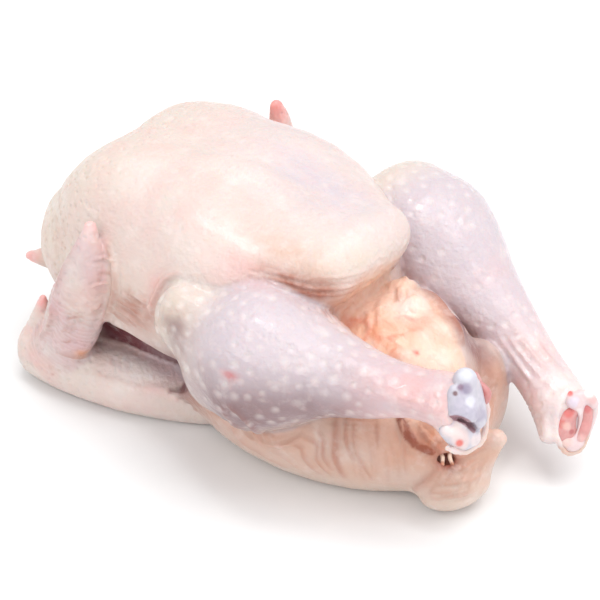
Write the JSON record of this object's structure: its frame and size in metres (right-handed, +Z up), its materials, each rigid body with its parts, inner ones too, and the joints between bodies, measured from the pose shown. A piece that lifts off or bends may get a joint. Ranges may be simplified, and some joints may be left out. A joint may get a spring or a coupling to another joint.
{
  "type": "whole raw chicken",
  "caption": "Whole raw plucked chicken on its back, breast up, drumsticks pointing past the tail, wing tips standing beside the breast.",
  "frame": {"origin": "on the board, under the middle of the whole bird's box", "axes": "+X from the neck to the tail, +Y towards the leg that hangs low, +Z up through the breast"},
  "size_m": [0.2578, 0.1686, 0.1135],
  "materials": {
    "raw_skin": "moist raw chicken skin, cream to pink, with a soft wet sheen"
  },
  "bodies": {
    "root": {"chicken": "raw_skin"}
  },
  "joints": []
}
